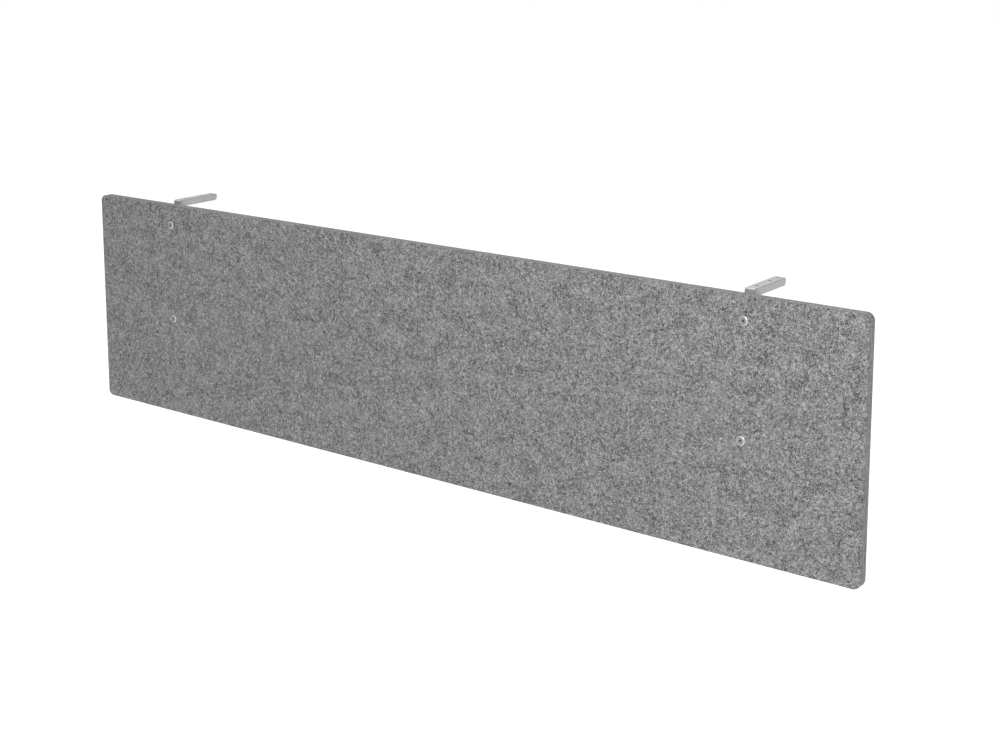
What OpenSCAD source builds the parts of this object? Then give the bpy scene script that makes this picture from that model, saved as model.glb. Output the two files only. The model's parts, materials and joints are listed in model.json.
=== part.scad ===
// Desk privacy panel: a board of laminated felt that hangs under the edge of a desktop
// on two bent channel brackets.
// Frame: the origin is at the middle of the four desk screw holes, in the plane of the arms'
// top faces, which is the underside of the desktop. X runs along the panel, its face looks
// towards -Y, and +Z is up.

/* [Panel] */
// Length of the felt board
panel_length = 1600; // [1200:10:2000]
// Height of the felt board
panel_height = 400; // [300:10:700]
// Thickness of the front felt sheet
front_sheet = 9; // [7.5:0.5:15]
// Thickness of the rear felt sheet
rear_sheet = 9; // [7.5:0.5:15]
// Radius of the board's four corners
corner_radius = 12; // [3:1:40]
// Gap between the desktop's underside and the board's top edge
desk_gap = 7.5; // [4:0.5:30]

/* [Brackets] */
// From each end of the board to the middle of its bracket
bracket_inset = 195; // [80:5:400]
// Width of the bent channel
bracket_width = 20; // [18:1:40]
// Thickness of the steel sheet
sheet_steel = 2; // [1.5:0.25:2.5]
// Inner radius of every bend
bend_radius = 0.5; // [0.5:0.25:2]
// Depth of the channel's cheeks, from the outside of the web
cheek_depth = 11.5; // [10:0.5:20]
// Length of the arm under the desktop, from the back of the board
arm_length = 92; // [80:1:200]
// From the lower fastener to the end of the leg
leg_margin = 15; // [10:1:25]
// Radius on the free corner of each cheek
cheek_corner = 6; // [2:0.5:8]
// Diameter of the relief hole where the bends meet
relief_diameter = 4; // [3:0.5:5]
// Width of the open mitre between the arm's and the leg's cheeks
mitre_gap = 0.8; // [0.4:0.1:1.5]

/* [Desk screw holes] */
// Diameter of each hole in the arms
desk_hole = 6; // [4:0.5:8]
// From the back of the board to the first hole
first_hole = 20; // [15:1:30]
// From the first hole to the second along the arm
hole_pitch = 40; // [20:1:40]
// From the middle of the end hole to the end of the arm
end_margin = 6; // [5:0.5:12]

/* [Clamp fasteners] */
// From the desktop down to the upper fastener
upper_fastener = 45; // [30:1:80]
// From the upper fastener down to the lower one
fastener_pitch = 180; // [60:5:200]
// Outer diameter of the thread
thread = 6; // [4:1:6]
// Radial clearance between a screw and the thread it turns in
thread_clearance = 0.05; // [0.02:0.01:0.1]
// Clearance hole for the screw in the leg and in its washer
screw_hole = 6.6; // [6.3:0.1:7]
// Diameter of the sleeve nut's barrel
barrel_diameter = 10; // [9:0.5:13]
// Radial clearance of the barrel in the felt
barrel_clearance = 0.25; // [0.1:0.05:1]
// Depth of the thread in the barrel
thread_depth = 12; // [10:1:13]
// Diameter of the sleeve nut's flat head
nut_head_diameter = 15; // [14:0.5:20]
// Height of the sleeve nut's flat head
nut_head_height = 1.6; // [1.2:0.1:3]
// Height of the bevel round the head's rim
rim_bevel_height = 0.8; // [0.3:0.1:1]
// Width of the bevel round the head's rim
rim_bevel_width = 1.5; // [0.5:0.1:2]
// Width across the flats of both hexagon sockets
socket_flats = 4; // [3:0.5:4]
// Depth of the sleeve nut's socket from the head's face
nut_socket_depth = 3.2; // [2:0.2:4]
// Length of the clamp screw under its head
screw_length = 12; // [10:1:14]
// Diameter of the clamp screw's button head
button_diameter = 10.5; // [9:0.5:12]
// Height of the clamp screw's button head
button_height = 3.3; // [2.5:0.1:4]
// Depth of the clamp screw's socket
screw_socket_depth = 2; // [1:0.1:2.4]
// Outer diameter of the washer
washer_diameter = 12; // [11:0.5:13]
// Thickness of the washer
washer_thickness = 1.6; // [1:0.1:2]

/* [Hidden] */
$fn = 64;

// How far a cutting solid runs past the face it cuts
overcut = 1;
// Ratio of a hexagon's corner-to-corner width to its width across the flats
hex_corners = 2 / sqrt(3);

left = -1;
right = 1;
board_thickness = front_sheet + rear_sheet;
board_back_y = -(first_hole + hole_pitch / 2);
board_front_y = board_back_y - board_thickness;
glue_line_y = board_back_y - rear_sheet;
board_top_z = -desk_gap;
bracket_x = panel_length / 2 - bracket_inset;
fastener_drops = [upper_fastener, upper_fastener + fastener_pitch];
leg_length = upper_fastener + fastener_pitch + leg_margin;
end_hole = arm_length - end_margin;
outer_bend = bend_radius + sheet_steel;
inner_width = bracket_width - 2 * sheet_steel;

felt_grey = [0.52, 0.52, 0.52];
coat_grey = [0.74, 0.74, 0.75];
zinc_grey = [0.68, 0.69, 0.70];

// Places its children in a bracket's own frame, where X is 0 at the middle of the channel,
// Y is 0 at the back of the board and Z is 0 under the desktop.
module at_bracket(side) {
    translate([side * bracket_x, board_back_y, 0]) children();
}

// Places its children on both fastener axes of one bracket, with their +Z pointing back
// towards +Y.
module at_fasteners(side) {
    at_bracket(side)
        for (drop = fastener_drops)
            translate([0, 0, -drop]) rotate([-90, 0, 0]) children();
}

// Outline of the board, standing on its lower edge, with rounded corners.
module board_outline() {
    half = panel_length / 2;
    translate([-half + corner_radius, 0])
        square([panel_length - 2 * corner_radius, panel_height]);
    translate([-half, corner_radius])
        square([panel_length, panel_height - 2 * corner_radius]);
    for (x = [-1, 1], y = [corner_radius, panel_height - corner_radius])
        translate([x * (half - corner_radius), y]) circle(corner_radius);
}

// One sheet of felt whose back lies at back_y, with the four holes for the barrels.
module felt_sheet(thickness, back_y) {
    difference() {
        translate([0, back_y, board_top_z - panel_height])
            rotate([90, 0, 0]) linear_extrude(thickness) board_outline();
        for (side = [left, right])
            at_fasteners(side)
                translate([0, 0, -board_thickness - overcut])
                    cylinder(d = barrel_diameter + 2 * barrel_clearance,
                             h = board_thickness + 2 * overcut);
    }
}

// A rectangle that hangs below y = 0, with its two upper corners rounded.
module round_shouldered(width, height, radius) {
    translate([-width / 2, -height]) square([width, height - radius]);
    translate([-width / 2 + radius, -height]) square([width - 2 * radius, height]);
    for (x = [-1, 1])
        translate([x * (width / 2 - radius), -radius]) circle(radius);
}

// Section of the bent channel: its web is on top, with the outside at y = 0.
module channel_section() {
    difference() {
        round_shouldered(bracket_width, cheek_depth, outer_bend);
        translate([0, -sheet_steel])
            round_shouldered(inner_width, cheek_depth, bend_radius);
    }
}

// A strip seen from the side, from the mitre at the bend to a free end whose cheek corner
// is rounded.
module side_strip(length) {
    difference() {
        union() {
            translate([0, -cheek_depth]) square([length - cheek_corner, cheek_depth]);
            translate([0, -cheek_depth + cheek_corner])
                square([length, cheek_depth - cheek_corner]);
            translate([length - cheek_corner, -cheek_depth + cheek_corner])
                circle(cheek_corner);
        }
        polygon([
            [-overcut, overcut],
            [-overcut, -cheek_depth - overcut],
            [cheek_depth + overcut, -cheek_depth - overcut]
        ]);
    }
}

// A channel that runs along +Y from the mitre, with the outside of its web on top.
module mitred_channel(length) {
    intersection() {
        translate([0, length, 0]) rotate([90, 0, 0])
            linear_extrude(length) channel_section();
        rotate([90, 0, 90])
            linear_extrude(bracket_width + 2 * overcut, center = true) side_strip(length);
    }
}

// What is cut from the outside of the main bend to round it.
module bend_rounding() {
    rotate([90, 0, 90]) linear_extrude(bracket_width + 2 * overcut, center = true)
        difference() {
            translate([-overcut, -outer_bend]) square(outer_bend + overcut);
            translate([outer_bend, -outer_bend]) circle(outer_bend);
        }
}

// The inside radius of the main bend.
module inner_fillet() {
    rotate([90, 0, 90]) linear_extrude(inner_width, center = true)
        difference() {
            translate([sheet_steel, -outer_bend]) square(bend_radius);
            translate([outer_bend, -outer_bend]) circle(bend_radius);
        }
}

// What is cut from the corner of one cheek: the relief hole where the bends meet, and the
// mitre that runs from it to the inner corner.
module corner_relief(cheek) {
    depth = outer_bend + overcut;
    middle = cheek * (bracket_width / 2 - outer_bend + depth / 2);
    translate([middle, outer_bend / 2, -outer_bend / 2]) rotate([0, 90, 0])
        cylinder(d = relief_diameter, h = depth, center = true);
    translate([middle, 0, 0]) rotate([-45, 0, 0])
        translate([-depth / 2, outer_bend, -mitre_gap / 2])
            cube([depth, cheek_depth * sqrt(2), mitre_gap]);
}

// A bent channel bracket in its own frame.
module bracket() {
    difference() {
        union() {
            mitred_channel(arm_length);
            mirror([0, 1, 1]) mitred_channel(leg_length);
            inner_fillet();
        }
        bend_rounding();
        for (cheek = [left, right]) corner_relief(cheek);
        for (y = [first_hole, first_hole + hole_pitch, end_hole])
            translate([0, y, -sheet_steel - overcut])
                cylinder(d = desk_hole, h = sheet_steel + 2 * overcut);
        for (drop = fastener_drops)
            translate([0, -overcut, -drop]) rotate([-90, 0, 0])
                cylinder(d = screw_hole, h = sheet_steel + 2 * overcut);
    }
}

// A hexagon socket whose mouth is at z = 0 and which runs up to z = depth.
module hex_socket(depth) {
    translate([0, 0, -overcut])
        cylinder(d = socket_flats * hex_corners, h = depth + overcut, $fn = 6);
}

// A sleeve nut: its flat head bears on the felt's face, and its barrel is as long as the
// board is thick, so it stops against the leg before the felt is crushed.
module sleeve_nut() {
    head_radius = nut_head_diameter / 2;
    barrel_radius = barrel_diameter / 2;
    face_z = -board_thickness - nut_head_height;
    difference() {
        rotate_extrude()
            polygon([
                [0, face_z],
                [head_radius - rim_bevel_width, face_z],
                [head_radius, face_z + rim_bevel_height],
                [head_radius, -board_thickness],
                [barrel_radius, -board_thickness],
                [barrel_radius, 0],
                [0, 0]
            ]);
        translate([0, 0, face_z]) hex_socket(nut_socket_depth);
        translate([0, 0, -thread_depth])
            cylinder(d = thread + 2 * thread_clearance, h = thread_depth + overcut);
    }
}

// A button-head clamp screw, whose head bears on the washer.
module clamp_screw() {
    head_z = sheet_steel + washer_thickness;
    dome_radius = (pow(button_diameter / 2, 2) + pow(button_height, 2)) / (2 * button_height);
    difference() {
        union() {
            translate([0, 0, head_z - screw_length]) cylinder(d = thread, h = screw_length);
            intersection() {
                translate([0, 0, head_z + button_height - dome_radius])
                    sphere(dome_radius);
                translate([0, 0, head_z]) cylinder(d = button_diameter, h = button_height);
            }
        }
        translate([0, 0, head_z + button_height]) mirror([0, 0, 1])
            hex_socket(screw_socket_depth);
    }
}

// The plain washer under a clamp screw's head.
module washer() {
    translate([0, 0, sheet_steel])
        difference() {
            cylinder(d = washer_diameter, h = washer_thickness);
            translate([0, 0, -overcut])
                cylinder(d = screw_hole, h = washer_thickness + 2 * overcut);
        }
}

module front_felt_sheet() { color(felt_grey) felt_sheet(front_sheet, glue_line_y); }
module rear_felt_sheet() { color(felt_grey) felt_sheet(rear_sheet, board_back_y); }
module left_bracket() { color(coat_grey) at_bracket(left) bracket(); }
module right_bracket() { color(coat_grey) at_bracket(right) bracket(); }
module left_sleeve_nuts() { color(zinc_grey) at_fasteners(left) sleeve_nut(); }
module right_sleeve_nuts() { color(zinc_grey) at_fasteners(right) sleeve_nut(); }
module left_clamp_screws() { color(zinc_grey) at_fasteners(left) clamp_screw(); }
module right_clamp_screws() { color(zinc_grey) at_fasteners(right) clamp_screw(); }
module left_washers() { color(zinc_grey) at_fasteners(left) washer(); }
module right_washers() { color(zinc_grey) at_fasteners(right) washer(); }

front_felt_sheet();
rear_felt_sheet();
left_bracket();
right_bracket();
left_sleeve_nuts();
right_sleeve_nuts();
left_clamp_screws();
right_clamp_screws();
left_washers();
right_washers();
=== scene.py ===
"""Desk privacy panel: the finished look of the felt board, its brackets and its fasteners.

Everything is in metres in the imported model's frame: X runs along the board, its face looks
towards -Y and +Z is up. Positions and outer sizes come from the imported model's own boxes.
"""
import json
import math
import random
from collections import namedtuple

import bmesh
import bpy
from bpy.props import FloatProperty, IntProperty, PointerProperty
from mathutils import Matrix, Vector, geometry, noise

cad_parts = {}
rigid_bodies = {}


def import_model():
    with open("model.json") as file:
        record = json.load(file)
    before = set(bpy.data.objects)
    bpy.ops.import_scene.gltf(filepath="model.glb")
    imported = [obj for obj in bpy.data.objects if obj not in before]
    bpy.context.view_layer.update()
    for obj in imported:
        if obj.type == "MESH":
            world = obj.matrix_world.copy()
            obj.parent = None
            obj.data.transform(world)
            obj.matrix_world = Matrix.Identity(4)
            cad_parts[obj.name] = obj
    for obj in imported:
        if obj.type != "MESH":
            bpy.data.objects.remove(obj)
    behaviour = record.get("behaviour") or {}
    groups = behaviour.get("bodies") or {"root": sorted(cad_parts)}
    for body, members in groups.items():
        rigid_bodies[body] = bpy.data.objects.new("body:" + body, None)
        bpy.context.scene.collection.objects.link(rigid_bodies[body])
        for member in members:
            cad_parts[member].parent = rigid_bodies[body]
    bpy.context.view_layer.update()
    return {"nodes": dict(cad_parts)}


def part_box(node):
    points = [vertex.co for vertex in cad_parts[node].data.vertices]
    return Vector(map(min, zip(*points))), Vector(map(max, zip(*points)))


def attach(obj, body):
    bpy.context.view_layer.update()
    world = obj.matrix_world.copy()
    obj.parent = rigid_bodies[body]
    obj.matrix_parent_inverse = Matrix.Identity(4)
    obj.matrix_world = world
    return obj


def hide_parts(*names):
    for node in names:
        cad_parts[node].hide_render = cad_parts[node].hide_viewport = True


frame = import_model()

bl_info = {
    "name": "Desk privacy panel",
    "version": (1, 0, 0),
    "blender": (4, 5, 0),
    "location": "3D View > Sidebar > Privacy panel",
    "description": "Builds a felt desk panel with its brackets and fasteners",
    "category": "Object",
}

MM = 0.001
BODY = "root"
SIDES = ("left", "right")


# ---------------------------------------------------------------- settings


def length(name, description, default, most):
    """A length that a user may change, given in millimetres."""
    return FloatProperty(
        name=name, description=description, default=default * MM, min=0, max=most * MM,
        precision=5, subtype="DISTANCE", unit="LENGTH")


def grey(name, description, default):
    """A grey that a user may change, from black at 0 to white at 1."""
    return FloatProperty(
        name=name, description=description, default=default, min=0, max=1, subtype="FACTOR")


def angle(name, description, default):
    """An angle that a user may change, given in degrees."""
    return FloatProperty(
        name=name, description=description, default=math.radians(default),
        subtype="ANGLE", unit="ROTATION")


class FeltSettings(bpy.types.PropertyGroup):
    """Sizes and greys of the two felt sheets."""

    corner: length("Corner radius", "Radius of the board's four corners", 12, 40)
    rounding: length("Edge rounding", "Soft rounding along the cut edge of each face", 1, 3)
    seam: length("Seam", "Depth of the fine groove where the two sheets meet", 0.25, 1)
    hole: length("Hole", "Diameter of the holes for the sleeve nuts' barrels", 10.5, 16)
    pitch: length("Mesh pitch", "Distance between the points of the visible faces", 3.6, 20)
    relief: length("Relief", "Height of the felt's slow hills and hollows", 0.16, 1)
    swell: length("Swell", "How far free felt stands proud of felt that is clamped", 0.2, 1)
    dark: grey("Dark fibre", "Grey of the darkest felt", 0.028)
    pale: grey("Pale fibre", "Grey of the palest felt", 0.286)


class NapSettings(bpy.types.PropertyGroup):
    """The loose curled fibres that lie on the felt."""

    density: FloatProperty(
        name="Fibres", description="Loose fibres on each square metre of felt",
        default=5600, min=0, max=6000)
    length: length("Length", "Length of a fibre along its curl", 7.5, 20)
    radius: length("Radius", "Radius at the middle of a fibre", 0.2, 0.5)
    rise: length("Rise", "How high the middle of a fibre stands off the felt", 0.3, 2)
    dark: grey("Dark fibre", "Grey of the darkest loose fibres", 0.04)
    pale: grey("Pale fibre", "Grey of the palest loose fibres", 0.46)


class MetalSettings(bpy.types.PropertyGroup):
    """Greys of the coated steel and of the plated fasteners, and the fasteners' turn."""

    coat: grey("Powder coat", "Grey of the brackets' powder coat", 0.315)
    nickel: grey("Nut plating", "Grey of the sleeve nuts", 0.36)
    zinc: grey("Screw plating", "Grey of the clamp screws and washers", 0.45)
    turn_seed: IntProperty(
        name="Turn seed", description="Picks how far each fastener happened to be turned",
        default=4, min=0)


class StageSettings(bpy.types.PropertyGroup):
    """The floor, the lights and the camera."""

    desk: length("Desk height", "Height of the desktop's underside above the floor", 720, 1300)
    key: FloatProperty(
        name="Key light", description="Power of the soft light at the front right",
        default=28, min=0, max=500, unit="POWER")
    top: FloatProperty(
        name="Top light", description="Power of the soft light overhead",
        default=10, min=0, max=500, unit="POWER")
    distance: length("Camera distance", "From the board's middle to the camera", 2819, 9000)
    azimuth: angle("Camera azimuth", "Round from the front, towards the right end", 39.67)
    elevation: angle("Camera elevation", "Above the level of the board's middle", 15.58)
    heading: angle("Camera heading", "How far left of +Y the camera looks", 36.98)
    tilt: angle("Camera tilt", "How far the camera looks down", 9.6)
    roll: angle("Camera roll", "Turn of the camera about its own line of sight", -0.05)
    lens: FloatProperty(
        name="Lens", description="Focal length on a 36 mm sensor, in millimetres",
        default=60.16, min=20, max=200)
    shift: FloatProperty(
        name="Lens shift", description="Vertical shift of the lens, in sensor widths",
        default=-0.19, min=-0.5, max=0.5)


class PanelSettings(bpy.types.PropertyGroup):
    """Everything that a user may change."""

    felt: PointerProperty(type=FeltSettings)
    nap: PointerProperty(type=NapSettings)
    metal: PointerProperty(type=MetalSettings)
    stage: PointerProperty(type=StageSettings)


# ---------------------------------------------------------------- node building


def socket_of(sockets, key):
    """The socket with this index, or the one in use with this name."""
    if isinstance(key, int):
        return sockets[key]
    return next(socket for socket in sockets if socket.name == key and socket.enabled)


class Signal:
    """A socket in a node tree. Python's operators on it add Math nodes to the tree."""

    def __init__(self, tree, socket=None):
        self.tree = tree
        self.socket = socket

    def node(self, kind, settings=None, inputs=None, output=0):
        """Adds a node: first its settings, then the values or links of its sockets."""
        made = self.tree.nodes.new(kind)
        for name, value in (settings or {}).items():
            setattr(made, name, value)
        for key, value in (inputs or {}).items():
            target = socket_of(made.inputs, key)
            if isinstance(value, Signal):
                self.tree.links.new(value.socket, target)
            else:
                target.default_value = value
        return Signal(self.tree, socket_of(made.outputs, output) if made.outputs else None)

    def math(self, operation, *values):
        """A Math node on these values, each a number or a signal."""
        return self.node("ShaderNodeMath", {"operation": operation}, dict(enumerate(values)))

    def of(self, operation):
        """A function of this value, such as its sine."""
        return self.math(operation, self)

    def above(self, limit):
        """1 where this value is above the limit, and 0 elsewhere."""
        return self.math("GREATER_THAN", self, limit)

    def __add__(self, other):
        return self.math("ADD", self, other)

    def __sub__(self, other):
        return self.math("SUBTRACT", self, other)

    def __rsub__(self, other):
        return self.math("SUBTRACT", other, self)

    def __mul__(self, other):
        return self.math("MULTIPLY", self, other)

    def __truediv__(self, other):
        return self.math("DIVIDE", self, other)

    def __rtruediv__(self, other):
        return self.math("DIVIDE", other, self)

    def __abs__(self):
        return self.math("ABSOLUTE", self)

    __radd__ = __add__
    __rmul__ = __mul__

    def vector(self, operation, other, output=0):
        """This vector and another one, put through a Vector Math node."""
        return self.node(
            "ShaderNodeVectorMath", {"operation": operation}, {0: self, 1: other}, output)

    def part(self, axis):
        """The part of this vector along the axis of this name."""
        return self.node("ShaderNodeSeparateXYZ", {}, {0: self}, axis)

    def moved(self, x, y, z):
        """This place moved by so many millimetres, where noise is a pattern of its own."""
        return self.vector("ADD", (x, y, z))

    def scaled(self, factor):
        """This vector times a number."""
        return self.node(
            "ShaderNodeVectorMath", {"operation": "SCALE"}, {0: self, "Scale": factor})

    def step(self, low, high):
        """A smooth step from 0 at low to 1 at high."""
        return self.node(
            "ShaderNodeMapRange", {"interpolation_type": "SMOOTHSTEP"},
            {"Value": self, "From Min": low, "From Max": high})

    def noise(self, size, detail=0.0, output="Fac"):
        """Noise at this place in millimetres, with hills about `size` millimetres apart."""
        return self.node(
            "ShaderNodeTexNoise", {},
            {"Vector": self, "Scale": 1 / size, "Detail": detail}, output)

    def warped(self, size, reach):
        """This place, pushed about by noise of this size by about `reach` millimetres."""
        push = self.noise(size, output="Color").vector("SUBTRACT", (0.5, 0.5, 0.5))
        return self.vector("ADD", push.scaled(4 * reach))

    def greys(self, low, high):
        """The grey between low and high that this factor picks."""
        return self.node(
            "ShaderNodeMix", {"data_type": "RGBA"},
            {"Factor": self, "A": (low, low, low, 1), "B": (high, high, high, 1)}, "Result")


def new_material(name):
    """A new material, and the start of its node tree."""
    material = bpy.data.materials.new(name)
    material.use_nodes = True
    material.node_tree.nodes.clear()
    return material, Signal(material.node_tree)


def place_in_mm(start):
    """The object coordinates in millimetres."""
    return start.node("ShaderNodeTexCoord", output="Object").scaled(1 / MM)


def finish_material(start, colour, roughness, height, depth, fixed):
    """Joins what changes over the surface to the shader, whose other sockets are `fixed`.
    A height of 1 is a bump of this depth."""
    bumped = start.node(
        "ShaderNodeBump", {}, {"Strength": 1.0, "Distance": depth, "Height": height})
    changing = {"Base Color": colour, "Roughness": roughness, "Normal": bumped}
    shader = start.node("ShaderNodeBsdfPrincipled", {}, changing | fixed)
    start.node("ShaderNodeOutputMaterial", {}, {"Surface": shader})


# ---------------------------------------------------------------- materials


# Radii from a fastener's own axis between which painted shade and painted highlight change its
# plating's grey, in millimetres.
SOCKET_MOUTH = (2.0, 2.5)
GROOVE_SHADE_RING = (4.3, 4.8)
RIM_HIGHLIGHT = (5.7, 6.2)
TURNED_PITCH = 0.3       # millimetres between the fine rings that turning leaves


def strands(place, size, width, kept, seed):
    """Short curved hairs of this size and width in millimetres: thin level lines of noise,
    kept only in the patches where a slower noise is above `kept`."""
    own = place.moved(37.0 * seed, 11.0 * seed, 23.0 * seed)
    line = 1 - abs(own.warped(size * 0.7, size * 0.25).noise(size) - 0.5).step(
        0, 0.6 * width / size)
    patches = own.moved(0, 71.0, 0).noise(size * 1.1).step(kept, kept + 0.06)
    return line * patches


def felt_material(look):
    """Pressed felt: slow clouds, a fine grain, and pale and dark curled hairs. The cut edges
    are darker and more even than the faces."""
    material, start = new_material("pressed_felt")
    place = place_in_mm(start)
    clouds = place.noise(26, 1) - 0.5
    patches = place.moved(0, 40.0, 90.0).noise(9, 1) - 0.5
    grain = place.warped(3.4, 1.0).noise(1.75, 1) - 0.5
    specks = place.moved(60.0, 0, 0).noise(1.0) - 0.5
    pale_hairs = strands(place, 5.4, 0.8, 0.5, 1) + strands(place, 4.2, 0.7, 0.54, 2)
    dark_hairs = strands(place, 4.6, 0.8, 0.52, 3) + strands(place, 3.5, 0.7, 0.55, 4)
    mottle = 0.45 * clouds + 0.6 * patches + 1.75 * grain + 1.1 * specks
    mottle = mottle + 0.42 * pale_hairs - 0.28 * dark_hairs
    facing = abs(start.node("ShaderNodeNewGeometry", output="Normal").part("Y"))
    cut = 1 - facing.step(0.3, 0.8)
    tone = 0.42 + mottle * (1 - 0.45 * cut) - 0.08 * cut
    height = 0.5 + 0.8 * grain + 0.35 * pale_hairs + 0.2 * dark_hairs + 0.4 * specks
    roughness = 0.92 + 0.12 * grain
    finish_material(
        start, tone.greys(look.dark, look.pale), roughness, height, 0.25 * MM,
        {"Sheen Weight": 0.15, "Sheen Roughness": 0.5, "Specular IOR Level": 0.2})
    return material


def fibre_material(look):
    """Loose fibres, each of its own grey, a little streaked along its length."""
    material, start = new_material("loose_fibre")
    place = place_in_mm(start)
    tone = start.node("ShaderNodeAttribute", {"attribute_name": "tone"}, output="Fac")
    streaks = place.noise(1.5, 1) - 0.5
    finish_material(
        start, (tone + 0.2 * streaks).greys(look.dark, look.pale), 0.8 + 0.2 * streaks,
        streaks, 0.05 * MM, {"Sheen Weight": 0.15, "Specular IOR Level": 0.3})
    return material


def coat_material(look):
    """Fine-textured powder coat, with painted shade along the long bends and on faces that look
    straight to the front, and a painted highlight on faces that look up and to the front, as on
    the main bend."""
    material, start = new_material("powder_coat")
    place = place_in_mm(start)
    normal = start.node("ShaderNodeNewGeometry", output="Normal")
    x, y, z = (normal.part(axis) for axis in "XYZ")
    # Painted shade: darker where a face turns between X and Y or Z, along the long bends.
    bend = (abs(x * y) + abs(x * z)).step(0.2, 0.48)
    # Painted highlight on faces that look up and to the front, as on the main bend.
    painted_glint = (y * z * -1).step(0.25, 0.5)
    # Painted shade on faces that look straight to the front, such as the leg face that the felt
    # is clamped to.
    clamped = (y * -1).step(0.8, 0.98)
    texture = place.noise(0.7, 2) - 0.5
    clouds = place.noise(18, 2) - 0.5
    # Clouds and texture are the coat's own; the bend, glint and front-facing marks are painted
    # light.
    tone = 0.5 + 0.24 * clouds + 0.24 * texture + 0.4 * painted_glint - 0.36 * bend - 0.36 * clamped
    finish_material(
        start, tone.greys(look.coat * 0.5, look.coat * 1.5), 0.5 + 0.25 * texture,
        texture, 0.06 * MM, {"Specular IOR Level": 0.45})
    return material


def plated_material(name, shade, roughness):
    """Plated turned steel: fine rings round each fastener's own axis, a painted highlight on the
    outer rim with a ring of painted shade inside it, and painted shade in the socket."""
    material, start = new_material(name)
    place = place_in_mm(start)
    radius = start.node("ShaderNodeAttribute", {"attribute_name": "turning"}, output="Fac")
    rings = (radius * (2 * math.pi / TURNED_PITCH)).of("SINE")
    stains = place.noise(2.5, 2) - 0.5
    # Painted highlight on the outer rim.
    rim = radius.step(*RIM_HIGHLIGHT)
    # Painted shade in a ring just inside the rim.
    painted_groove_shade = radius.step(*GROOVE_SHADE_RING) - rim
    # Painted shade in the hex socket.
    socket = 1 - radius.step(*SOCKET_MOUTH)
    # Rings and stains are the plating's own; the rim, inner ring and socket marks are painted
    # light.
    tone = 0.36 + 0.07 * rings + 0.2 * stains + 0.45 * rim - 0.1 * painted_groove_shade - 0.32 * socket
    finish_material(
        start, tone.greys(shade * 0.25, shade * 1.7), roughness + 0.05 * rings + 0.2 * stains,
        rings, 0.008 * MM, {"Metallic": 1.0})
    return material


def floor_material():
    """A plain white floor that glows a little, so that it stays even under the board."""
    material, start = new_material("white_floor")
    cloud = place_in_mm(start).noise(400, 1)
    shader = start.node(
        "ShaderNodeBsdfPrincipled", {},
        {"Base Color": cloud.greys(0.88, 0.90), "Roughness": 0.9,
         "Emission Color": (1, 1, 1, 1), "Emission Strength": 0.2})
    start.node("ShaderNodeOutputMaterial", {}, {"Surface": shader})
    return material


# ---------------------------------------------------------------- shared mesh work


def settings():
    """The values that the user sees in the sidebar."""
    return bpy.context.scene.privacy_panel


def add_piece(name, mesh, slot=None):
    """Puts a mesh in the scene as a piece; one given a slot rides on the board's body."""
    piece = bpy.data.objects.new(name, mesh)
    bpy.context.scene.collection.objects.link(piece)
    mesh.name = name
    if slot:
        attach(piece, BODY)
    return piece


def closed_mesh(name, points, faces, material):
    """A smooth mesh of these faces, welded where they meet and turned outwards."""
    mesh = bpy.data.meshes.new(name)
    mesh.from_pydata(points, [], faces)
    work = bmesh.new()
    work.from_mesh(mesh)
    bmesh.ops.remove_doubles(work, verts=work.verts, dist=0.001 * MM)
    bmesh.ops.recalc_face_normals(work, faces=work.faces)
    for face in work.faces:
        face.smooth = True
    work.to_mesh(mesh)
    work.free()
    mesh.materials.append(material)
    return mesh


def grown(name, carrier, tree, values, slot):
    """The piece that a node tree makes of a carrier mesh, as a plain mesh."""
    maker = bpy.data.objects.new(name + "_maker", carrier)
    bpy.context.scene.collection.objects.link(maker)
    modifier = maker.modifiers.new(name, "NODES")
    modifier.node_group = tree
    for item in tree.interface.items_tree:
        if item.name in values:
            modifier[item.identifier] = values[item.name]
    view_layer = bpy.context.evaluated_depsgraph_get()
    mesh = bpy.data.meshes.new_from_object(
        maker.evaluated_get(view_layer), preserve_all_data_layers=True, depsgraph=view_layer)
    maker.modifiers.clear()
    bpy.data.objects.remove(maker)
    if not mesh.polygons:
        raise RuntimeError(f"the node tree made no faces for {name}")
    return add_piece(name, mesh, slot)


def new_tree(name, inputs):
    """A geometry node tree with named inputs. Returns it with the signals of its inputs."""
    tree = bpy.data.node_groups.new(name, "GeometryNodeTree")
    tree.interface.new_socket("Geometry", in_out="OUTPUT", socket_type="NodeSocketGeometry")
    tree.interface.new_socket("Geometry", in_out="INPUT", socket_type="NodeSocketGeometry")
    for label, kind in inputs.items():
        tree.interface.new_socket(label, in_out="INPUT", socket_type="NodeSocket" + kind)
    entry = tree.nodes.new("NodeGroupInput")
    return tree, {socket.name: Signal(tree, socket) for socket in entry.outputs if socket.name}


def end_tree(shapes, material):
    """Ends a tree: one plain mesh with its material."""
    made = shapes.node("GeometryNodeRealizeInstances", {}, {"Geometry": shapes})
    made = made.node("GeometryNodeSetMaterial", {}, {"Geometry": made, "Material": material})
    exit_node = made.tree.nodes.new("NodeGroupOutput")
    made.tree.links.new(made.socket, exit_node.inputs[0])


# ---------------------------------------------------------------- felt board


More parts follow.
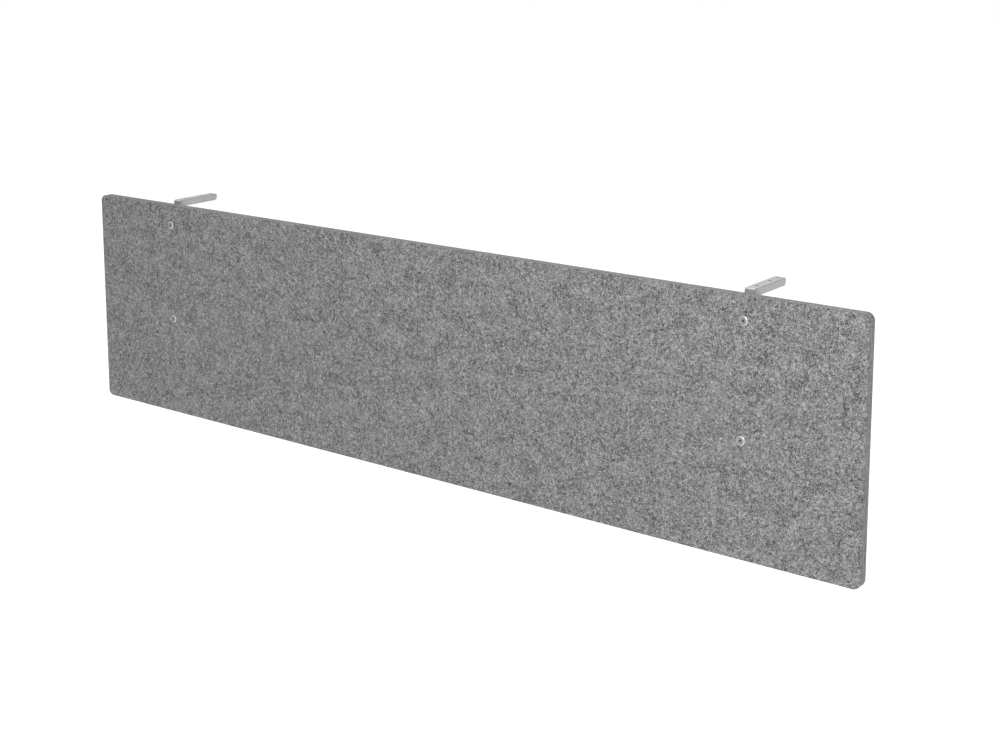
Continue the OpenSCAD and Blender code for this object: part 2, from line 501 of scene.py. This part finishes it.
Plate = namedtuple("Plate", "x z half_width half_height radius")
ARC_STEPS = 8
HOLE_STEPS = 32
HOLE_WALL_STEPS = 3
BEND_STEPS = 4
WALL_PARTS = (0.33, 0.67, 1)     # depths of the rings down a cut edge, as shares of it
HOLE_SLACK = 0.98                # triangles centred within this share of a hole's radius go
EDGE_RAMP = 8 * MM               # from a cut edge in to felt that is free to swell
CLAMP_RAMP = 4 * MM              # from a clamping plate to felt that is free to swell
HILL = 30 * MM                   # spacing of the slow hills in the felt's face
RIPPLE = 9 * MM                  # spacing of the quick ones
TUFT = 4 * MM                    # spacing of the bumps in its cut edge
WELLS = (2.25, 3.0, 4.2, 5.8)    # rings of points round a hole, this many mm from its rim
JITTER = 0.28                    # how far a point strays from its grid, in mesh pitches
CLEARANCE = 0.6                  # least distance of such a point from an outline, likewise
GLUE_PITCH = 40 * MM             # mesh pitch of the hidden faces


def distance_to(plate, x, z):
    """Distance in the board's plane from a point to a round-cornered plate, negative inside."""
    beyond_x = abs(x - plate.x) - plate.half_width + plate.radius
    beyond_z = abs(z - plate.z) - plate.half_height + plate.radius
    outside = math.hypot(max(beyond_x, 0), max(beyond_z, 0))
    return outside + min(max(beyond_x, beyond_z), 0) - plate.radius


def plate_outline(plate, inset, pitch):
    """Points round a plate, moved in by inset. Every inset gives as many points."""
    radius = plate.radius - inset
    reach_x = plate.half_width - plate.radius
    reach_z = plate.half_height - plate.radius
    middles = [(reach_x, reach_z), (-reach_x, reach_z), (-reach_x, -reach_z), (reach_x, -reach_z)]
    points = []
    for turn, (middle_x, middle_z) in enumerate(middles):
        for step in range(ARC_STEPS + 1):
            sweep = (turn + step / ARC_STEPS) * math.pi / 2
            points.append((plate.x + middle_x + radius * math.cos(sweep),
                           plate.z + middle_z + radius * math.sin(sweep)))
        next_x, next_z = middles[(turn + 1) % 4]
        gap_x, gap_z = next_x - middle_x, next_z - middle_z
        spans = round(math.hypot(gap_x, gap_z) / pitch)
        start_x, start_z = points[-1]
        points += [(start_x + gap_x * step / spans, start_z + gap_z * step / spans)
                   for step in range(1, spans)]
    return points


def circle(x, z, radius):
    """Points round a hole."""
    turns = [2 * math.pi * step / HOLE_STEPS for step in range(HOLE_STEPS)]
    return [(x + radius * math.cos(turn), z + radius * math.sin(turn)) for turn in turns]


def filled(outline, holes, inner):
    """Triangles between an outline and its holes, through the inner points as well. The
    thinnest ones along the inside of a hole's rim are kept too."""
    points = []
    edges = []
    for loop in [outline] + holes:
        first = len(points)
        points += [Vector(point) for point in loop]
        edges += [(first + i, first + (i + 1) % len(loop)) for i in range(len(loop))]
    points += [Vector(point) for point in inner]
    found, _, faces, *_ = geometry.delaunay_2d_cdt(points, edges, [], 1, 1e-7)
    rounds = []
    for hole in holes:
        middle = sum((Vector(point) for point in hole), Vector((0, 0))) / len(hole)
        rounds.append((middle, (Vector(hole[0]) - middle).length))
    kept = []
    for face in faces:
        centre = (found[face[0]] + found[face[1]] + found[face[2]]) / 3
        if all((centre - middle).length > radius * HOLE_SLACK for middle, radius in rounds):
            kept.append(face)
    return found, kept


class Shell:
    """Collects the points and faces of a mesh part by part; parts are welded at the end."""

    def __init__(self):
        self.points = []
        self.faces = []

    def add(self, points, faces):
        """Adds a part, whose faces count its own points from 0."""
        first = len(self.points)
        self.points += points
        self.faces += [[first + corner for corner in face] for face in faces]

    def add_rows(self, rows):
        """Joins rings of points, each to the next, with quads."""
        count = len(rows[0])
        faces = [
            (row * count + i, row * count + (i + 1) % count,
             (row + 1) * count + (i + 1) % count, (row + 1) * count + i)
            for row in range(len(rows) - 1) for i in range(count)]
        self.add([point for row in rows for point in row], faces)


def felt_lift(x, z, outward, board, clamps, look):
    """How far the felt stands proud of its nominal face at a point."""
    inside = -distance_to(board, x, z) - look.rounding
    free = min(inside / EDGE_RAMP, 1)
    for clamp in clamps:
        free = min(free, distance_to(clamp, x, z) / CLAMP_RAMP)
    free = max(free, 0)
    free = free * free * (3 - 2 * free)
    slow = noise.noise(Vector((x, outward, z)) / HILL)
    quick = noise.noise(Vector((x, outward + 5, z)) / RIPPLE)
    return free * (look.swell + look.relief * (0.6 * slow + 0.5 * quick))


def face_points(low, board, holes, look, seed):
    """Points inside a visible face: rings round each hole, then an uneven grid."""
    rng = random.Random(seed)
    wells = [look.hole / 2 + width * MM for width in WELLS]
    points = [point for x, z in holes for well in wells for point in circle(x, z, well)]
    spare = CLEARANCE * look.pitch
    for column in range(round(2 * board.half_width / look.pitch)):
        for row in range(round(2 * board.half_height / look.pitch)):
            x = low.x + (column + 0.5 + rng.uniform(-JITTER, JITTER)) * look.pitch
            z = low.z + (row + 0.5 + rng.uniform(-JITTER, JITTER)) * look.pitch
            clear = all(math.hypot(x - hole_x, z - hole_z) > wells[-1] + spare
                        for hole_x, hole_z in holes)
            if clear and distance_to(board, x, z) <= -look.rounding - spare:
                points.append((x, z))
    return points


def glue_points(low, board, holes, look):
    """A coarse grid of points inside a hidden face, clear of its holes."""
    points = [(low.x + GLUE_PITCH * (column + 0.5), low.z + GLUE_PITCH * (row + 0.5))
              for column in range(int(2 * board.half_width / GLUE_PITCH))
              for row in range(int(2 * board.half_height / GLUE_PITCH))]
    return [(x, z) for x, z in points
            if all(math.hypot(x - hole_x, z - hole_z) > look.hole for hole_x, hole_z in holes)]


def edge_profile(thickness, look):
    """The cut edge from the visible face to the seam, as pairs of an inset and a depth."""
    bends = [step / BEND_STEPS * math.pi / 2 for step in range(BEND_STEPS + 1)]
    profile = [(look.rounding * (1 - math.sin(bend)), look.rounding * (1 - math.cos(bend)))
               for bend in bends]
    wall = thickness - look.seam - look.rounding
    profile += [(0, look.rounding + wall * part) for part in WALL_PARTS]
    profile.append((look.seam, thickness))
    return profile


def edge_ring(board, inset, y, firm, look):
    """A ring of points round the cut edge. It is roughened outwards, most where firm is 1."""
    ring = []
    for x, z in plate_outline(board, inset, look.pitch):
        rough = 0.35 * look.relief * noise.noise(Vector((x, y, z)) / TUFT)
        out = Vector((x - board.x, 0, z - board.z))
        out.x = math.copysign(max(abs(out.x) - board.half_width + board.radius, 0), out.x)
        out.z = math.copysign(max(abs(out.z) - board.half_height + board.radius, 0), out.z)
        ring.append(Vector((x, y, z)) + out.normalized() * rough * firm)
    return ring


def felt_sheet(name, node, outward, clamps, look, material, seed):
    """One felt sheet. Its visible face looks along outward (-1 or 1) on Y, swells between
    the plates that clamp it, and has softly rounded cut edges."""
    low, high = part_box(node)
    face_y, glue_y = (low.y, high.y) if outward < 0 else (high.y, low.y)
    thickness = high.y - low.y
    board = Plate((low.x + high.x) / 2, (low.z + high.z) / 2,
                  (high.x - low.x) / 2, (high.z - low.z) / 2, look.corner)
    holes = [(x, z) for side in SIDES for x, z in fastener_axes(side + "_sleeve_nuts")]
    rims = [circle(x, z, look.hole / 2) for x, z in holes]
    shell = Shell()

    outline = plate_outline(board, look.rounding, look.pitch)
    flat, faces = filled(outline, rims, face_points(low, board, holes, look, seed))
    lifts = [felt_lift(x, z, outward, board, clamps, look) for x, z in flat]
    shell.add([Vector((x, face_y + outward * lift, z)) for (x, z), lift in zip(flat, lifts)],
              faces)

    rings = []
    for inset, depth in edge_profile(thickness, look):
        firm = min(min(depth, thickness - depth) / look.rounding, 1)
        rings.append(edge_ring(board, inset, face_y - outward * depth, firm, look))
    shell.add_rows(rings)

    outline = plate_outline(board, look.seam, look.pitch)
    flat, faces = filled(outline, rims, glue_points(low, board, holes, look))
    shell.add([Vector((x, glue_y, z)) for x, z in flat], faces)

    depths = [face_y + (glue_y - face_y) * step / HOLE_WALL_STEPS
              for step in range(HOLE_WALL_STEPS + 1)]
    for rim in rims:
        shell.add_rows([[Vector((x, y, z)) for x, z in rim] for y in depths])

    piece = add_piece(name, closed_mesh(name, shell.points, shell.faces, material), "felt")
    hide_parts(node)


class PANEL_OT_felt_board(bpy.types.Operator):
    """Makes the front and rear felt sheets"""

    bl_idname = "privacy_panel.felt_board"
    bl_label = "Felt board"

    def execute(self, context):
        look = settings().felt
        material = felt_material(look)
        board_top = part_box("rear_felt_sheet")[1].z
        heads = []
        legs = []
        for side in SIDES:
            low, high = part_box(side + "_sleeve_nuts")
            radius = (high.x - low.x) / 2
            heads += [Plate(x, z, radius, radius, radius)
                      for x, z in fastener_axes(side + "_sleeve_nuts")]
            low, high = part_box(side + "_bracket")
            legs.append(Plate(
                (low.x + high.x) / 2, (low.z + board_top) / 2,
                (high.x - low.x) / 2, (board_top - low.z) / 2, 0))
        felt_sheet("front_felt", "front_felt_sheet", -1, heads, look, material, seed=11)
        felt_sheet("rear_felt", "rear_felt_sheet", 1, legs, look, material, seed=12)
        return {"FINISHED"}


# ---------------------------------------------------------------- loose fibres


FIBRE_POINTS = 8         # points along a fibre
SECTION_POINTS = 3       # points round it
LEAST_FACING = 0.7       # cosine of the furthest that a rooted face may turn away
MOST_CURL = 4.5          # radians that the curliest fibre turns through
SHORTEST = 0.5           # shares of the given length that a fibre may have
LONGEST = 1.2
SWAY = 0.07              # how far a fibre waves to its sides, as a share of its length
SUNK = 0.3               # how deep its ends lie in the felt, as a share of its rise
TIP = 0.35               # radius at its ends, as a share of that at its middle


def nap_tree():
    """Scatters curled fibres over the faces of a mesh that look the chosen way. They root
    within the half size of the middle in X and Z."""
    tree, given = new_tree("felt_nap", {
        "Facing": "Vector", "Middle": "Vector", "Half Size": "Vector", "Density": "Float",
        "Length": "Float", "Radius": "Float", "Rise": "Float", "Seed": "Int",
        "Material": "Material"})
    start = given["Geometry"]
    seed = given["Seed"]

    def chance(low, high, draw):
        """A random value of each point's own."""
        return start.node(
            "FunctionNodeRandomValue", {"data_type": "FLOAT"},
            {"Min": low, "Max": high, "Seed": seed + draw}, "Value")

    def kept(shapes, name, value, kind="FLOAT"):
        """The shapes, with a value stored on each point."""
        return start.node(
            "GeometryNodeStoreNamedAttribute", {"data_type": kind, "domain": "POINT"},
            {"Geometry": shapes, "Name": name, "Value": value})

    def recalled(name, kind="FLOAT"):
        """The value stored under this name."""
        return start.node(
            "GeometryNodeInputNamedAttribute", {"data_type": kind}, {"Name": name}, "Attribute")

    facing = start.node("GeometryNodeInputNormal").vector("DOT_PRODUCT", given["Facing"], "Value")
    chosen = facing.above(LEAST_FACING)
    offset = start.node("GeometryNodeInputPosition").vector("SUBTRACT", given["Middle"])
    room = given["Half Size"].vector("SUBTRACT", offset.vector("ABSOLUTE", (0, 0, 0)))
    for axis in "XZ":
        chosen = chosen * room.part(axis).above(0)
    scatter = start.node(
        "GeometryNodeDistributePointsOnFaces", {},
        {"Mesh": start, "Selection": chosen, "Density": given["Density"], "Seed": seed})
    normal = Signal(tree, socket_of(scatter.socket.node.outputs, "Normal"))
    points = kept(scatter, "root", start.node("GeometryNodeInputPosition"), "FLOAT_VECTOR")
    points = kept(points, "lift", normal, "FLOAT_VECTOR")
    points = kept(points, "heading", chance(0, 2 * math.pi, 1))
    points = kept(points, "curl", chance(-MOST_CURL, MOST_CURL, 2))
    points = kept(points, "wave", chance(0, 2 * math.pi, 3))
    points = kept(points, "reach", chance(SHORTEST, LONGEST, 4))
    points = kept(points, "tone", chance(0, 1, 5).step(0.25, 0.5))

    line = start.node("GeometryNodeCurvePrimitiveLine")
    line = start.node("GeometryNodeResampleCurve", {}, {"Curve": line, "Count": FIBRE_POINTS})
    fibres = start.node(
        "GeometryNodeInstanceOnPoints", {}, {"Points": points, "Instance": line})
    fibres = start.node("GeometryNodeRealizeInstances", {}, {"Geometry": fibres})

    along = start.node("GeometryNodeSplineParameter", output="Factor")
    curl = recalled("curl") + 0.01
    bent = curl * along
    forward = bent.of("SINE") / curl
    sideways = (1 - bent.of("COSINE")) / curl
    wave = (along * (2 * math.pi) + recalled("wave")).of("SINE")
    hump = (along * math.pi).of("SINE")
    lift = recalled("lift", "FLOAT_VECTOR")
    ahead = lift.vector("CROSS_PRODUCT", (0.3, 0.5, 0.8)).vector("NORMALIZE", (0, 0, 0))
    ahead = start.node(
        "ShaderNodeVectorRotate", {"rotation_type": "AXIS_ANGLE"},
        {"Vector": ahead, "Axis": lift, "Angle": recalled("heading")})
    beside = lift.vector("CROSS_PRODUCT", ahead)
    size = recalled("reach") * given["Length"]
    place = recalled("root", "FLOAT_VECTOR")
    place = place.vector("ADD", ahead.scaled(size * forward))
    place = place.vector("ADD", beside.scaled(size * (sideways + SWAY * wave)))
    place = place.vector("ADD", lift.scaled(given["Rise"] * (hump - SUNK)))
    fibres = start.node("GeometryNodeSetPosition", {}, {"Geometry": fibres, "Position": place})
    section = start.node(
        "GeometryNodeCurvePrimitiveCircle", {}, {"Resolution": SECTION_POINTS, "Radius": 1.0})
    tubes = start.node(
        "GeometryNodeCurveToMesh", {},
        {"Curve": fibres, "Profile Curve": section, "Fill Caps": True,
         "Scale": given["Radius"] * (TIP + (1 - TIP) * hump)})
    end_tree(tubes, given["Material"])
    return tree


class PANEL_OT_felt_nap(bpy.types.Operator):
    """Scatters loose curled fibres over both faces of the board"""

    bl_idname = "privacy_panel.felt_nap"
    bl_label = "Loose fibres"

    def execute(self, context):
        look = settings().nap
        tree = nap_tree()
        low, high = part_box("front_felt_sheet")
        margin = LONGEST * look.length
        half_size = ((high.x - low.x) / 2 - margin, 1, (high.z - low.z) / 2 - margin)
        values = {"Density": look.density, "Length": look.length, "Radius": look.radius,
                  "Rise": look.rise, "Material": fibre_material(look),
                  "Middle": tuple((low + high) / 2), "Half Size": half_size}
        for side, facing, seed in (("front", (0, -1, 0), 21), ("rear", (0, 1, 0), 22)):
            grown(side + "_nap", bpy.data.objects[side + "_felt"].data, tree,
                  values | {"Facing": facing, "Seed": seed}, "felt")
        return {"FINISHED"}


# ---------------------------------------------------------------- brackets


class PANEL_OT_brackets(bpy.types.Operator):
    """Coats the two bent channel brackets"""

    bl_idname = "privacy_panel.brackets"
    bl_label = "Brackets"

    def execute(self, context):
        material = coat_material(settings().metal)
        for side in SIDES:
            bracket = frame["nodes"][side + "_bracket"]
            bracket.data.materials.clear()
            bracket.data.materials.append(material)
        return {"FINISHED"}


# ---------------------------------------------------------------- fasteners


TURN_STEPS = 48
HEX_FLATS = 4 * MM         # across the flats of every socket
THREAD_PITCH = 1.0 * MM
RINGS_PER_PITCH = 8
DOME_PARTS = (0.98, 0.9, 0.8, 0.7, 0.6)    # rings on a domed head, as shares of its radius


def fastener_axes(node):
    """The (x, z) of the upper and the lower fastener that a node holds."""
    low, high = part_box(node)
    radius = (high.x - low.x) / 2
    x = (low.x + high.x) / 2
    return [(x, high.z - radius), (x, low.z + radius)]


def round_ring(radius, y):
    """A ring of points about the Y axis."""
    turns = [2 * math.pi * step / TURN_STEPS for step in range(TURN_STEPS)]
    return [Vector((radius * math.cos(turn), y, radius * math.sin(turn))) for turn in turns]


def hex_ring(flats, y):
    """A ring of points on a hexagon about the Y axis."""
    ring = []
    for step in range(TURN_STEPS):
        turn = 2 * math.pi * step / TURN_STEPS
        off_flat = (turn + math.pi / 6) % (math.pi / 3) - math.pi / 6
        radius = flats / 2 / math.cos(off_flat)
        ring.append(Vector((radius * math.cos(turn), y, radius * math.sin(turn))))
    return ring


def thread_ring(root, crest, y):
    """A ring of a screw thread: its depth turns once for each pitch along the axis, flat
    for a while at the root and at the crest."""
    ring = []
    for step in range(TURN_STEPS):
        part = (y / THREAD_PITCH - step / TURN_STEPS) % 1
        radius = root + (crest - root) * min(max(2.4 * abs(part - 0.5) * 2 - 0.7, 0), 1)
        turn = 2 * math.pi * step / TURN_STEPS
        ring.append(Vector((radius * math.cos(turn), y, radius * math.sin(turn))))
    return ring


def turned_mesh(name, rings, poles, material):
    """A turned part: rings of points joined in order, closed by the pole at each end, or
    joined last to first where it has no poles."""
    shell = Shell()
    shell.add_rows(rings if poles else rings + rings[:1])
    for pole, ring in zip(poles, (rings[0], rings[-1])):
        fans = [(i, (i + 1) % TURN_STEPS, TURN_STEPS) for i in range(TURN_STEPS)]
        shell.add(ring + [Vector((0, pole, 0))], fans)
    mesh = closed_mesh(name, shell.points, shell.faces, material)
    turning = mesh.attributes.new("turning", "FLOAT", "POINT")
    for point, value in zip(mesh.vertices, turning.data):
        value.value = math.hypot(point.co.x, point.co.z) / MM
    return mesh


def setting_out_tree():
    """Sets a part out on each point of a mesh, each turned by its own chance angle."""
    tree, given = new_tree("set_out", {
        "Part": "Object", "Most turn": "Float", "Turn seed": "Int", "Material": "Material"})
    start = given["Geometry"]
    part = start.node(
        "GeometryNodeObjectInfo", {}, {"Object": given["Part"]}, "Geometry")
    turn = start.node(
        "FunctionNodeRandomValue", {"data_type": "FLOAT"},
        {"Min": 0.0, "Max": given["Most turn"], "Seed": given["Turn seed"]}, "Value")
    turn = start.node("ShaderNodeCombineXYZ", {}, {"Y": turn})
    parts = start.node(
        "GeometryNodeInstanceOnPoints", {},
        {"Points": start, "Instance": part, "Rotation": turn})
    end_tree(parts, given["Material"])
    return tree


def set_out(kind, ending, slot, mesh, material):
    """Sets a fastener out on both axes of each bracket, as one piece for each bracket."""
    tree = setting_out_tree()
    part = add_piece(kind, mesh)
    for number, side in enumerate(SIDES):
        axes = [(x, 0, z) for x, z in fastener_axes(side + ending)]
        carrier = bpy.data.meshes.new(side + kind)
        carrier.from_pydata(axes, [], [])
        piece = grown(
            side + "_" + kind, carrier, tree,
            {"Part": part, "Most turn": 2 * math.pi, "Material": material,
             "Turn seed": settings().metal.turn_seed + number}, slot)
        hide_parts(side + ending)
    bpy.data.objects.remove(part)


class PANEL_OT_sleeve_nuts(bpy.types.Operator):
    """Makes the four sleeve nuts whose flat heads show on the front face"""

    bl_idname = "privacy_panel.sleeve_nuts"
    bl_label = "Sleeve nuts"

    def execute(self, context):
        low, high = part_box("left_sleeve_nuts")
        face = low.y
        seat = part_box("front_felt_sheet")[0].y
        end = high.y
        head = (high.x - low.x) / 2
        barrel = 5 * MM
        bore = 3.05 * MM
        socket_floor = face + 3.2 * MM
        socket_point = socket_floor + 0.5 * MM
        bore_floor = end - 12 * MM
        bore_point = bore_floor - 0.8 * MM
        socket_mouth = 0.66 * HEX_FLATS
        bevel_width = 1.5 * MM
        bevel_height = 0.8 * MM
        edge = 0.12 * MM
        chamfer = 0.35 * MM
        rings = [
            hex_ring(HEX_FLATS, socket_floor),
            hex_ring(HEX_FLATS, face + chamfer),
            round_ring(socket_mouth, face),
            round_ring((socket_mouth + head - bevel_width) / 2, face),
            round_ring(head - bevel_width - edge, face),
            round_ring(head - bevel_width + edge, face + 0.4 * edge),
            round_ring(head - edge, face + bevel_height - edge / 2),
            round_ring(head, face + bevel_height + edge),
            round_ring(head, seat - edge),
            round_ring(head - edge, seat),
            round_ring(barrel, seat),
            round_ring(barrel, end - chamfer),
            round_ring(barrel - chamfer, end),
            round_ring(bore + chamfer, end),
            round_ring(bore, end - chamfer),
            round_ring(bore, bore_floor),
        ]
        material = plated_material("nickel_plate", settings().metal.nickel, 0.42)
        mesh = turned_mesh("sleeve_nut", rings, (socket_point, bore_point), material)
        set_out("nut_pair", "_sleeve_nuts", "nut_zinc", mesh, material)
        return {"FINISHED"}


class PANEL_OT_clamp_screws(bpy.types.Operator):
    """Makes the four button-head screws that clamp the brackets from behind"""

    bl_idname = "privacy_panel.clamp_screws"
    bl_label = "Clamp screws"

    def execute(self, context):
        low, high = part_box("left_clamp_screws")
        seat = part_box("left_washers")[1].y
        head = (high.x - low.x) / 2
        height = high.y - seat
        crest = 3 * MM
        root = 2.45 * MM
        socket_mouth = 0.64 * HEX_FLATS
        socket_lead = 0.3 * MM
        socket_floor = high.y - 2 * MM
        socket_point = socket_floor - 0.4 * MM
        edge = 0.15 * MM
        thread_start = low.y + 0.3 * MM
        thread_end = seat - 1 * MM
        neck = seat - 0.8 * MM
        dome = (head * head + height * height) / (2 * height)
        dome_middle = high.y - dome

        def dome_y(radius):
            """Where the head's dome is on Y at this distance from the axis."""
            return dome_middle + math.sqrt(dome ** 2 - radius ** 2)

        rings = [round_ring(root, low.y), round_ring(root + 0.1 * MM, low.y + 0.2 * MM)]
        count = round((thread_end - thread_start) / THREAD_PITCH * RINGS_PER_PITCH)
        for step in range(count + 1):
            y = thread_start + (thread_end - thread_start) * step / count
            rings.append(thread_ring(root, crest, y))
        rings += [
            round_ring(crest, neck),
            round_ring(crest, seat),
            round_ring(head - edge, seat),
            round_ring(head, seat + edge),
        ]
        rings += [round_ring(head * part, dome_y(head * part)) for part in DOME_PARTS]
        rings += [
            round_ring(socket_mouth, dome_y(socket_mouth)),
            hex_ring(HEX_FLATS, dome_y(socket_mouth) - socket_lead),
            hex_ring(HEX_FLATS, socket_floor),
        ]
        material = plated_material("zinc_plate", settings().metal.zinc, 0.36)
        mesh = turned_mesh("clamp_screw", rings, (low.y, socket_point), material)
        set_out("screw_pair", "_clamp_screws", "screw_zinc", mesh, material)
        return {"FINISHED"}


class PANEL_OT_washers(bpy.types.Operator):
    """Makes the four plain washers under the clamp screws"""

    bl_idname = "privacy_panel.washers"
    bl_label = "Washers"

    def execute(self, context):
        low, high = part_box("left_washers")
        outer = (high.x - low.x) / 2
        inner = 3.3 * MM
        edge = 0.25 * MM
        rings = [
            round_ring(inner, low.y + edge),
            round_ring(inner, high.y - edge),
            round_ring(inner + edge, high.y),
            round_ring((inner + outer) / 2, high.y),
            round_ring(outer - edge, high.y),
            round_ring(outer - 0.3 * edge, high.y - 0.3 * edge),
            round_ring(outer, high.y - edge),
            round_ring(outer, low.y + 0.4 * edge),
            round_ring(outer - 0.4 * edge, low.y),
            round_ring(inner + edge, low.y),
        ]
        material = plated_material("zinc_washer", settings().metal.zinc, 0.42)
        mesh = turned_mesh("washer", rings, (), material)
        set_out("washer_pair", "_washers", "screw_zinc", mesh, material)
        return {"FINISHED"}


# ---------------------------------------------------------------- stage


SENSOR_WIDTH = 36                        # millimetres
FLOOR_REACH = 15                         # metres from the middle to each side
KEY_PLACE = Vector((1.3, -1.45, 0.9))    # in front of the right half of the board
KEY_AIM = Vector((0.5, 0, 0))            # from the board's middle
KEY_WIDTH = 1.2
TOP_PLACE = Vector((0.1, 0.2, 2.0))
TOP_WIDTH = 1.8


def board_middle():
    """The middle of the two felt sheets together."""
    front_low, front_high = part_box("front_felt_sheet")
    rear_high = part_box("rear_felt_sheet")[1]
    return Vector((0, (front_low.y + rear_high.y) / 2, (front_low.z + front_high.z) / 2))


def floor_under(desk):
    """The floor, at this depth below the desktop's underside."""
    signs = ((-1, -1), (1, -1), (1, 1), (-1, 1))
    corners = [(x * FLOOR_REACH, y * FLOOR_REACH, -desk) for x, y in signs]
    mesh = bpy.data.meshes.new("floor")
    mesh.from_pydata(corners, [], [(0, 1, 2, 3)])
    mesh.materials.append(floor_material())
    add_piece("floor", mesh)


def white_studio():
    """An even white world, shown without a tone curve."""
    scene = bpy.context.scene
    scene.world = bpy.data.worlds.new("studio")
    scene.world.use_nodes = True
    background = scene.world.node_tree.nodes["Background"]
    background.inputs["Color"].default_value = (1, 1, 1, 1)
    background.inputs["Strength"].default_value = 1.0
    scene.view_settings.view_transform = "Standard"


def soft_light(name, power, width, place, target):
    """A square soft light at a place, turned to a target. The camera doesn't see it."""
    data = bpy.data.lights.new(name, "AREA")
    data.energy = power
    data.size = width
    lamp = bpy.data.objects.new(name, data)
    lamp.visible_camera = False
    bpy.context.scene.collection.objects.link(lamp)
    lamp.location = place
    lamp.rotation_euler = (target - place).to_track_quat("-Z", "Y").to_euler()


def direction(azimuth, rise):
    """The direction this far round from the front towards the right, and this far up."""
    return Vector((math.sin(azimuth) * math.cos(rise),
                   -math.cos(azimuth) * math.cos(rise), math.sin(rise)))


def aim_camera(look, middle):
    """The camera, placed round the board's middle and turned by its own heading."""
    data = bpy.data.cameras.new("camera")
    data.sensor_width = SENSOR_WIDTH
    data.lens = look.lens
    data.shift_y = look.shift
    camera = bpy.data.objects.new("camera", data)
    bpy.context.scene.collection.objects.link(camera)
    back = direction(look.heading, look.tilt)
    turn = back.to_track_quat("Z", "Y").to_matrix() @ Matrix.Rotation(look.roll, 3, "Z")
    eye = middle + look.distance * direction(look.azimuth, look.elevation)
    camera.matrix_world = Matrix.Translation(eye) @ turn.to_4x4()
    bpy.context.scene.camera = camera


class PANEL_OT_stage(bpy.types.Operator):
    """Makes the floor, the soft lights and the camera"""

    bl_idname = "privacy_panel.stage"
    bl_label = "Stage"

    def execute(self, context):
        look = settings().stage
        middle = board_middle()
        floor_under(look.desk)
        white_studio()
        soft_light("key_light", look.key, KEY_WIDTH, KEY_PLACE, middle + KEY_AIM)
        soft_light("top_light", look.top, TOP_WIDTH, TOP_PLACE, middle)
        aim_camera(look, middle)
        return {"FINISHED"}


# ---------------------------------------------------------------- add-on


class PANEL_PT_sidebar(bpy.types.Panel):
    """The sizes and greys, and a button for each piece"""

    bl_label = "Privacy panel"
    bl_category = "Privacy panel"
    bl_space_type = "VIEW_3D"
    bl_region_type = "UI"

    def draw(self, context):
        for title in ("felt", "nap", "metal", "stage"):
            group = getattr(settings(), title)
            box = self.layout.box()
            box.label(text=title.capitalize())
            for name in group.bl_rna.properties.keys():
                if name not in ("rna_type", "name"):
                    box.prop(group, name)
        for operator in OPERATORS:
            self.layout.operator(operator.bl_idname)


GROUPS = (FeltSettings, NapSettings, MetalSettings, StageSettings, PanelSettings)
OPERATORS = (
    PANEL_OT_felt_board,
    PANEL_OT_felt_nap,
    PANEL_OT_brackets,
    PANEL_OT_sleeve_nuts,
    PANEL_OT_clamp_screws,
    PANEL_OT_washers,
    PANEL_OT_stage,
)
CLASSES = GROUPS + OPERATORS + (PANEL_PT_sidebar,)


def register():
    """Registers every class, and gives the scene its settings."""
    for item in CLASSES:
        bpy.utils.register_class(item)
    bpy.types.Scene.privacy_panel = PointerProperty(type=PanelSettings)


def unregister():
    """Takes back what register gave."""
    del bpy.types.Scene.privacy_panel
    for item in reversed(CLASSES):
        bpy.utils.unregister_class(item)


def main():
    """Makes every piece and the stage."""
    register()
    for operator in OPERATORS:
        group, name = operator.bl_idname.split(".")
        getattr(getattr(bpy.ops, group), name)()


if __name__ == "__main__":
    main()
